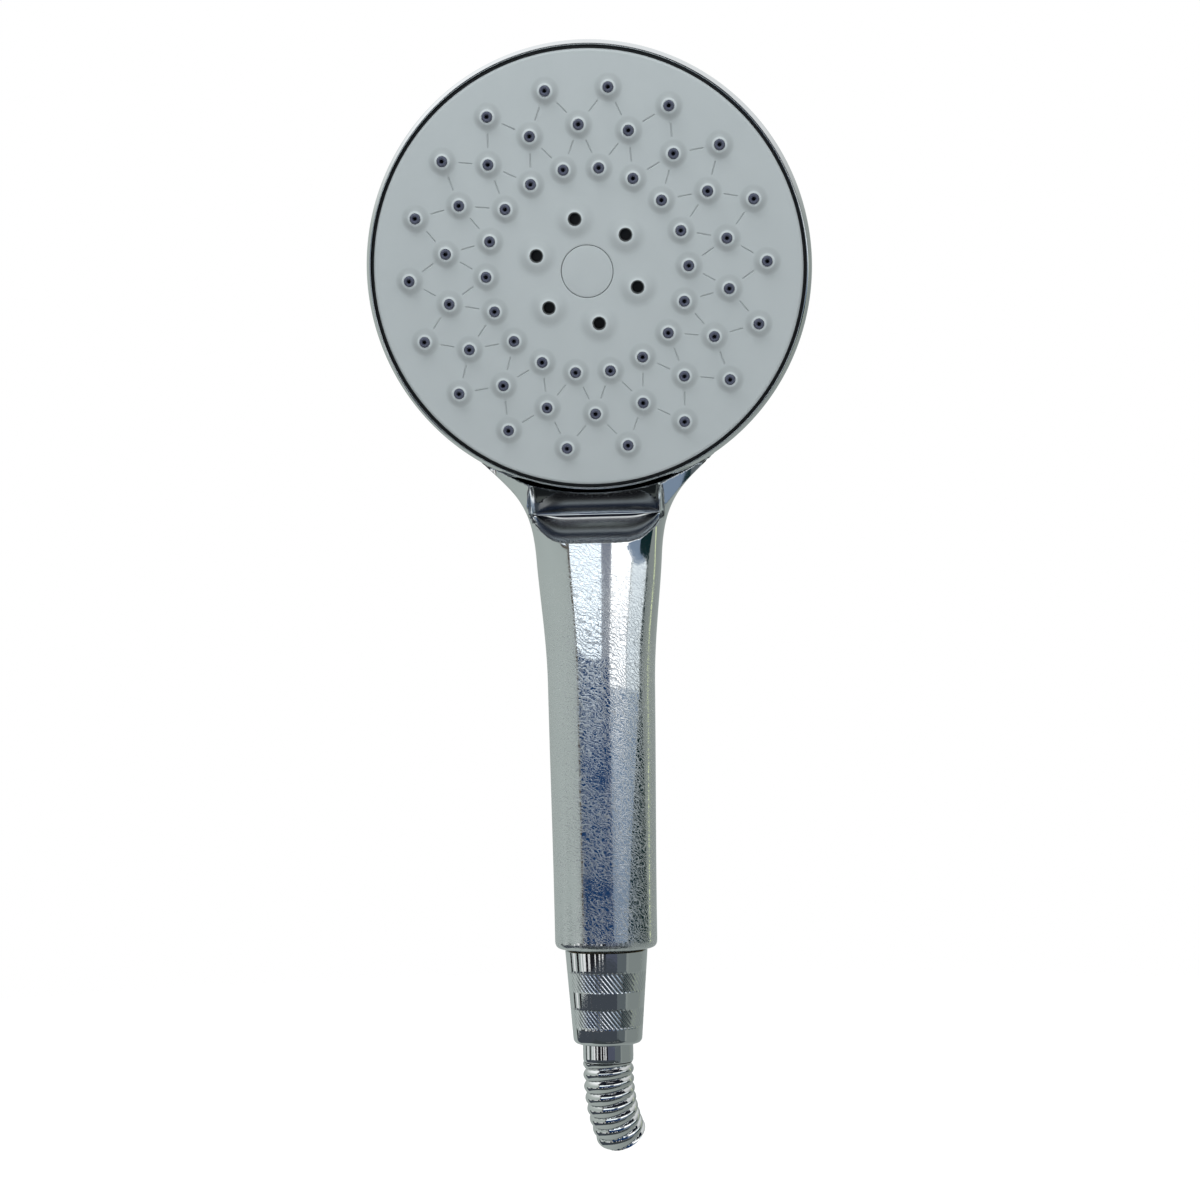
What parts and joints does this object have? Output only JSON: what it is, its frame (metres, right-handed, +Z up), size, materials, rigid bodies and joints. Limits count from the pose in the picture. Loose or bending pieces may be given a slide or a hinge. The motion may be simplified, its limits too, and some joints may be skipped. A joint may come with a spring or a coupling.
{
  "type": "handheld shower head",
  "caption": "Handheld shower head with a round two-mode spray face, a chrome handle with a thumb scoop, and a swivelling hose end.",
  "frame": {"origin": "on the handle's axis, halfway up the conical hose nut, where a wall bracket's cone holds it", "axes": "+Z up the handle towards the spray head; the spray face looks towards -Y and leans forward by 17 degrees; +X is to the right seen from the front"},
  "size_m": [0.125, 0.0644, 0.3086],
  "materials": {
    "chrome": "polished chrome plating on ABS, with fine rub marks",
    "chrome_brass": "polished chrome plating on brass",
    "hose_steel": "polished stainless steel strip wound into a hose",
    "face": "satin blue-grey ABS",
    "silicone": "soft matt silicone",
    "inner_plastic": "natural moulded plastic",
    "black_plastic": "black acetal",
    "rubber": "black nitrile rubber",
    "brass": "machined brass",
    "steel": "stainless steel",
    "liner": "pale hose liner"
  },
  "bodies": {
    "handle": {"body_shell": "chrome", "trim_ring": "chrome", "face_screw": "steel", "face_washer": "steel", "face_bush": "black_plastic", "port_housing": "black_plastic", "port_seal": "rubber", "detent_spring": "steel", "glide_ring": "black_plastic", "housing_screw_1": "steel", "housing_screw_2": "steel", "housing_screw_3": "steel", "waterway_tube": "inner_plastic", "tube_o_ring_top": "rubber", "tube_o_ring_bottom": "rubber", "inlet_insert": "brass", "inlet_o_ring_1": "rubber", "inlet_o_ring_2": "rubber", "retaining_clip": "steel", "flow_regulator": "black_plastic", "regulator_o_ring": "rubber", "strainer": "steel", "hose_washer": "rubber", "hose_nut": "chrome_brass", "swivel_bush": "black_plastic"},
    "face": {"spray_face": "face", "nozzle_mat": "silicone", "jet_insert": "face", "face_cap": "face", "backing_plate": "inner_plastic"},
    "hose": {"hose_tail": "brass", "hose_ferrule": "chrome_brass", "hose_end_bush": "black_plastic", "hose_liner": "liner", "hose_spiral": "hose_steel"}
  },
  "joints": [
    {"name": "spray_face_turn", "type": "hinge", "parent": "handle", "child": "face", "pos_m": [0, -0.032, 0.2022], "axis": [0, -0.9563, -0.2924], "range_deg": [0, 60]},
    {"name": "hose_swivel", "type": "hinge", "parent": "handle", "child": "hose", "pos_m": [0, 0, 0], "axis": [0, 0, 1], "continuous": true}
  ]
}
